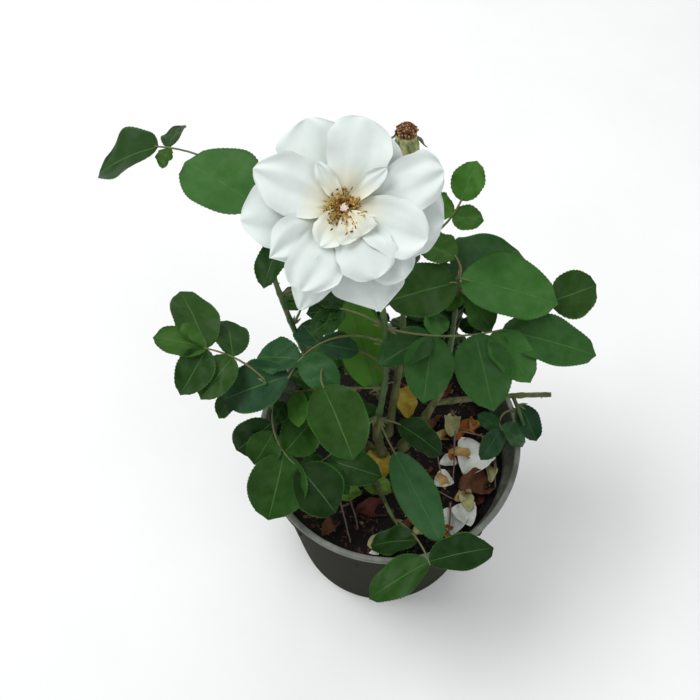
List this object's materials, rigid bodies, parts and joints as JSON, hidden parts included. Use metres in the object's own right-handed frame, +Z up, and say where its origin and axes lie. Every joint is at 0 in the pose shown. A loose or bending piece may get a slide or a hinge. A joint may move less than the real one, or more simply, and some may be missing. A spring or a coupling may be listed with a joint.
{
  "type": "potted rose bush",
  "caption": "Bushy rose plant in a round nursery pot of soil, with a large open white bloom held above broad toothed leaves and a spent bloom behind.",
  "frame": {"origin": "centre of the pot's flat underside", "axes": "+Z up along the pot's axis; -Y towards the front, the side that the open bloom leans to; +X to the right seen from the front"},
  "size_m": [0.3309, 0.2653, 0.468],
  "materials": {
    "pot": "satin dark grey-green polypropylene, scuffed",
    "soil": "damp potting compost with bark chips",
    "bark": "olive-brown woody canes",
    "foliage": "semi-gloss green leaves",
    "petal": "soft cool-white petals",
    "dried": "dry rust-brown petals and green-tan calyx"
  },
  "bodies": {
    "root": {"pot": "pot", "soil": "soil", "cane_main": "bark", "cane_left": "bark", "cane_right": "bark", "cane_back": "bark", "cane_front": "bark", "stub_right": "bark", "bloom": "petal", "spent_bloom": "dried", "flower_shoot": "foliage", "left_high": "foliage", "left_low": "foliage", "right_high": "foliage", "right_low": "foliage", "front_shoot": "foliage", "back_high": "foliage", "back_mid": "foliage", "back_right": "foliage"}
  },
  "joints": []
}
